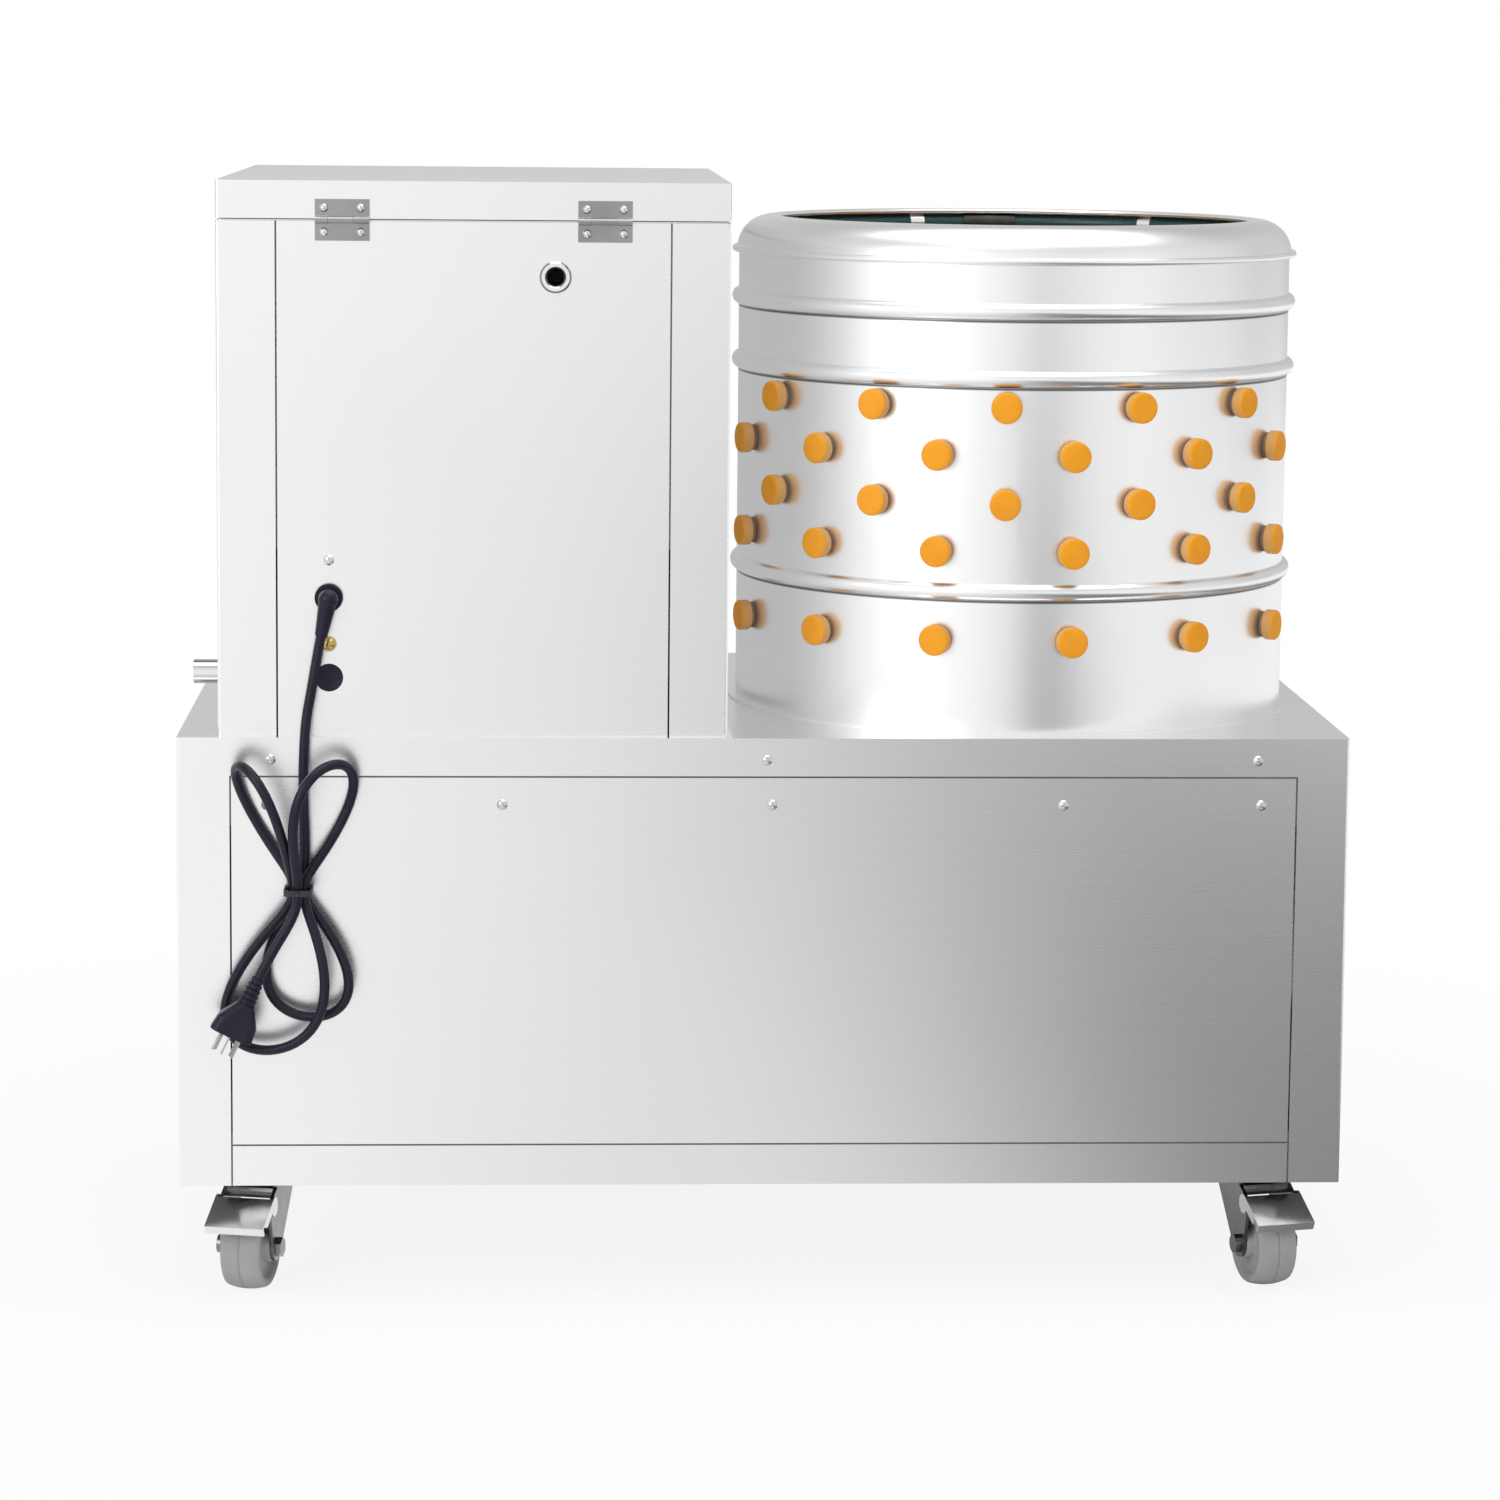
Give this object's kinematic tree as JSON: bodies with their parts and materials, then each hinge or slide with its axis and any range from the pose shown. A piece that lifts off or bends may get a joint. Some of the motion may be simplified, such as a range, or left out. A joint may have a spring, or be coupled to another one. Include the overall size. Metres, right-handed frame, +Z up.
{
  "type": "poultry plucker",
  "caption": "Poultry plucker: a heated scalding tank under a hinged lid beside a drum lined with rubber fingers, on a wheeled steel cabinet with belt drive.",
  "frame": {"origin": "on the floor under the middle of the machine", "axes": "+X along the cabinet towards the drum, -Y towards the rear with the mains lead, +Z up"},
  "size_m": [1.01, 0.6379, 0.966],
  "materials": {
    "steel": "satin sheet",
    "bright_steel": "polished sheet",
    "chrome": "polished",
    "zinc": "zinc plated",
    "frame_paint": "grey paint",
    "iron": "bare casting",
    "shaft_steel": "turned",
    "orange_rubber": "moulded",
    "black_rubber": "moulded",
    "green_hose": "extruded hose",
    "brass": "turned",
    "grey_tread": "moulded",
    "black_plastic": "moulded",
    "green_plastic": "moulded",
    "red_plastic": "moulded"
  },
  "bodies": {
    "machine": {"cabinet_top": "steel", "cabinet_sides": "steel", "rear_panel": "steel", "front_panel": "steel", "bottom_rails": "steel", "feather_chute": "steel", "scalder_sides": "steel", "scalder_rear_panel": "steel", "scalder_front_panel": "steel", "tank_guard": "steel", "hinge_lower_leaves": "steel", "hose_clips": "steel", "plucking_drum": "bright_steel", "drum_rim": "bright_steel", "scalding_tank": "bright_steel", "temperature_probe": "bright_steel", "case_screws": "bright_steel", "overflow_fitting": "chrome", "drain_pipe": "chrome", "caster_plates": "zinc", "base_frame": "frame_paint", "bearing_stand": "frame_paint", "motor_bracket": "frame_paint", "motor_body": "frame_paint", "shaft_bearings": "iron", "heating_element": "shaft_steel", "drum_fingers": "orange_rubber", "drive_belt": "black_rubber", "mains_cord": "black_rubber", "cord_gland": "black_rubber", "mains_plug": "black_rubber", "spray_hose": "green_hose", "water_inlet": "brass", "earth_stud": "brass", "plug_pins": "brass", "control_bezels": "black_plastic", "cord_tie": "black_plastic"},
    "lid": {"scalder_lid": "steel", "lid_liner": "steel", "lid_handle": "bright_steel", "hinge_upper_leaves": "steel"},
    "finger_plate": {"feather_plate": "bright_steel", "plate_fingers": "orange_rubber", "main_shaft": "shaft_steel", "driven_pulley": "iron"},
    "motor_rotor": {"motor_pulley": "iron"},
    "start_button": {"start_button": "green_plastic"},
    "stop_button": {"stop_button": "red_plastic"},
    "heater_switch": {"heater_switch": "black_plastic"},
    "thermostat_knob": {"thermostat_knob": "black_plastic"},
    "rear_left_caster": {"rear_left_fork": "zinc"},
    "rear_left_wheel": {"rear_left_wheel": "grey_tread"},
    "rear_right_caster": {"rear_right_fork": "zinc"},
    "rear_right_wheel": {"rear_right_wheel": "grey_tread"},
    "front_left_caster": {"front_left_fork": "zinc"},
    "front_left_wheel": {"front_left_wheel": "grey_tread"},
    "front_right_caster": {"front_right_fork": "zinc"},
    "front_right_wheel": {"front_right_wheel": "grey_tread"},
    "rear_left_pedal": {"rear_left_pedal": "zinc"},
    "rear_right_pedal": {"rear_right_pedal": "zinc"}
  },
  "joints": [
    {"name": "lid_hinge", "type": "hinge", "parent": "machine", "child": "lid", "pos_m": [-0.252, -0.27585, 0.933], "axis": [1, 0, 0], "range_deg": [0, 105]},
    {"name": "plate_spin", "type": "hinge", "parent": "machine", "child": "finger_plate", "pos_m": [0.235, -0.00875, 0.512], "axis": [0, 0, 1], "continuous": true},
    {"name": "motor_spin", "type": "hinge", "parent": "machine", "child": "motor_rotor", "pos_m": [-0.115, -0.00875, 0.23], "axis": [0, 0, 1], "continuous": true},
    {"name": "start_press", "type": "slide", "parent": "machine", "child": "start_button", "axis": [0, -1, 0], "range_m": [0, 0.004], "stiffness_N_per_m": 400},
    {"name": "stop_press", "type": "slide", "parent": "machine", "child": "stop_button", "axis": [0, -1, 0], "range_m": [0, 0.004], "stiffness_N_per_m": 400},
    {"name": "heater_rocker", "type": "hinge", "parent": "machine", "child": "heater_switch", "pos_m": [-0.283, 0.25225, 0.572], "axis": [1, 0, 0], "range_deg": [-20, 0]},
    {"name": "thermostat_turn", "type": "hinge", "parent": "machine", "child": "thermostat_knob", "pos_m": [-0.345, 0.26325, 0.572], "axis": [0, -1, 0], "range_deg": [0, 270]},
    {"name": "rear_left_swivel", "type": "hinge", "parent": "machine", "child": "rear_left_caster", "pos_m": [-0.439, -0.21475, 0.09], "axis": [0, 0, 1], "continuous": true},
    {"name": "rear_left_roll", "type": "hinge", "parent": "rear_left_caster", "child": "rear_left_wheel", "pos_m": [-0.44575, -0.24398, 0.0375], "axis": [0.9744, -0.225, 0], "continuous": true},
    {"name": "rear_left_brake", "type": "hinge", "parent": "rear_left_caster", "child": "rear_left_pedal", "pos_m": [-0.4489, -0.25762, 0.077], "axis": [0.9744, -0.225, 0], "range_deg": [0, 8]},
    {"name": "rear_right_swivel", "type": "hinge", "parent": "machine", "child": "rear_right_caster", "pos_m": [0.439, -0.21475, 0.09], "axis": [0, 0, 1], "continuous": true},
    {"name": "rear_right_roll", "type": "hinge", "parent": "rear_right_caster", "child": "rear_right_wheel", "pos_m": [0.44575, -0.24398, 0.0375], "axis": [0.9744, 0.225, 0], "continuous": true},
    {"name": "rear_right_brake", "type": "hinge", "parent": "rear_right_caster", "child": "rear_right_pedal", "pos_m": [0.4489, -0.25762, 0.077], "axis": [0.9744, 0.225, 0], "range_deg": [0, 8]},
    {"name": "front_left_swivel", "type": "hinge", "parent": "machine", "child": "front_left_caster", "pos_m": [-0.439, 0.19725, 0.09], "axis": [0, 0, 1], "continuous": true},
    {"name": "front_left_roll", "type": "hinge", "parent": "front_left_caster", "child": "front_left_wheel", "pos_m": [-0.44575, 0.22648, 0.0375], "axis": [-0.9744, -0.225, 0], "continuous": true},
    {"name": "front_right_swivel", "type": "hinge", "parent": "machine", "child": "front_right_caster", "pos_m": [0.439, 0.19725, 0.09], "axis": [0, 0, 1], "continuous": true},
    {"name": "front_right_roll", "type": "hinge", "parent": "front_right_caster", "child": "front_right_wheel", "pos_m": [0.44575, 0.22648, 0.0375], "axis": [-0.9744, 0.225, 0], "continuous": true}
  ],
  "couplings": [
    {"joint": "motor_spin", "follows": "plate_spin", "ratio": 5}
  ]
}
